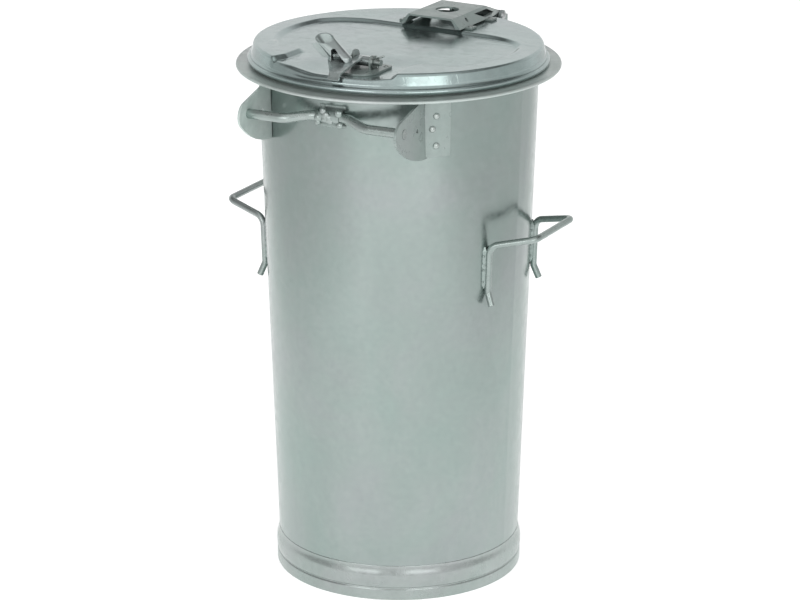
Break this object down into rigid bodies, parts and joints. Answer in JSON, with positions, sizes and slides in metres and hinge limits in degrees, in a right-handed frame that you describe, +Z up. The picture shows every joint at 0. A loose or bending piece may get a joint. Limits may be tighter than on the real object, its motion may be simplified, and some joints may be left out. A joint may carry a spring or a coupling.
{
  "type": "lidded steel bin",
  "caption": "Tall round galvanised steel bin with a flat lifting collar, a hinged pressed lid, a horned lever latch, a front pick-up bar and side hand handles.",
  "frame": {"origin": "centre of the foot ring's underside, on the floor", "axes": "+Z up along the bin's axis; -Y the front, with the latch and the pick-up bar; +Y the back, with the lid hinge; +X the right-hand handle"},
  "size_m": [0.444, 0.4379, 0.7188],
  "materials": {
    "wall": "hot-dip galvanised sheet, semi-gloss, faint spangle and mottling",
    "lid": "hot-dip galvanised pressing, semi-gloss, fine scratches",
    "collar": "hot-dip galvanised ring, semi-gloss",
    "foot_ring": "hot-dip galvanised hoop, semi-gloss",
    "plate": "hot-dip galvanised folded plate, semi-gloss",
    "rod": "hot-dip galvanised round rod, semi-gloss with runs",
    "fastener": "zinc-coated rivets and pins, semi-gloss",
    "latch": "hot-dip galvanised folded sheet, glossy"
  },
  "bodies": {
    "bin": {"body_shell": "wall", "base_disc": "wall", "foot_ring": "foot_ring", "rim_collar": "collar", "side_handle_right": "rod", "side_handle_left": "rod", "pickup_bar": "rod", "bar_saddle": "plate", "bar_cheek_right": "plate", "bar_cheek_left": "plate", "cheek_rivets_right": "fastener", "cheek_rivets_left": "fastener", "hinge_bracket": "plate", "hinge_bracket_rivets": "fastener", "hinge_pin": "fastener"},
    "lid": {"lid_panel": "lid", "hinge_plate": "plate", "hinge_plate_rivets": "fastener", "latch_bracket": "plate", "latch_bracket_rivets": "fastener", "latch_pin": "fastener", "latch_washer": "fastener", "latch_split_pin": "fastener"},
    "latch": {"latch_lever": "latch", "latch_horn": "latch"}
  },
  "joints": [
    {"name": "lid_hinge", "type": "hinge", "parent": "bin", "child": "lid", "pos_m": [0, 0.203, 0.678], "axis": [-1, 0, 0], "range_deg": [0, 110]},
    {"name": "latch_pivot", "type": "hinge", "parent": "lid", "child": "latch", "pos_m": [0.025, -0.127, 0.689], "axis": [-1, 0, 0], "range_deg": [0, 35]}
  ]
}
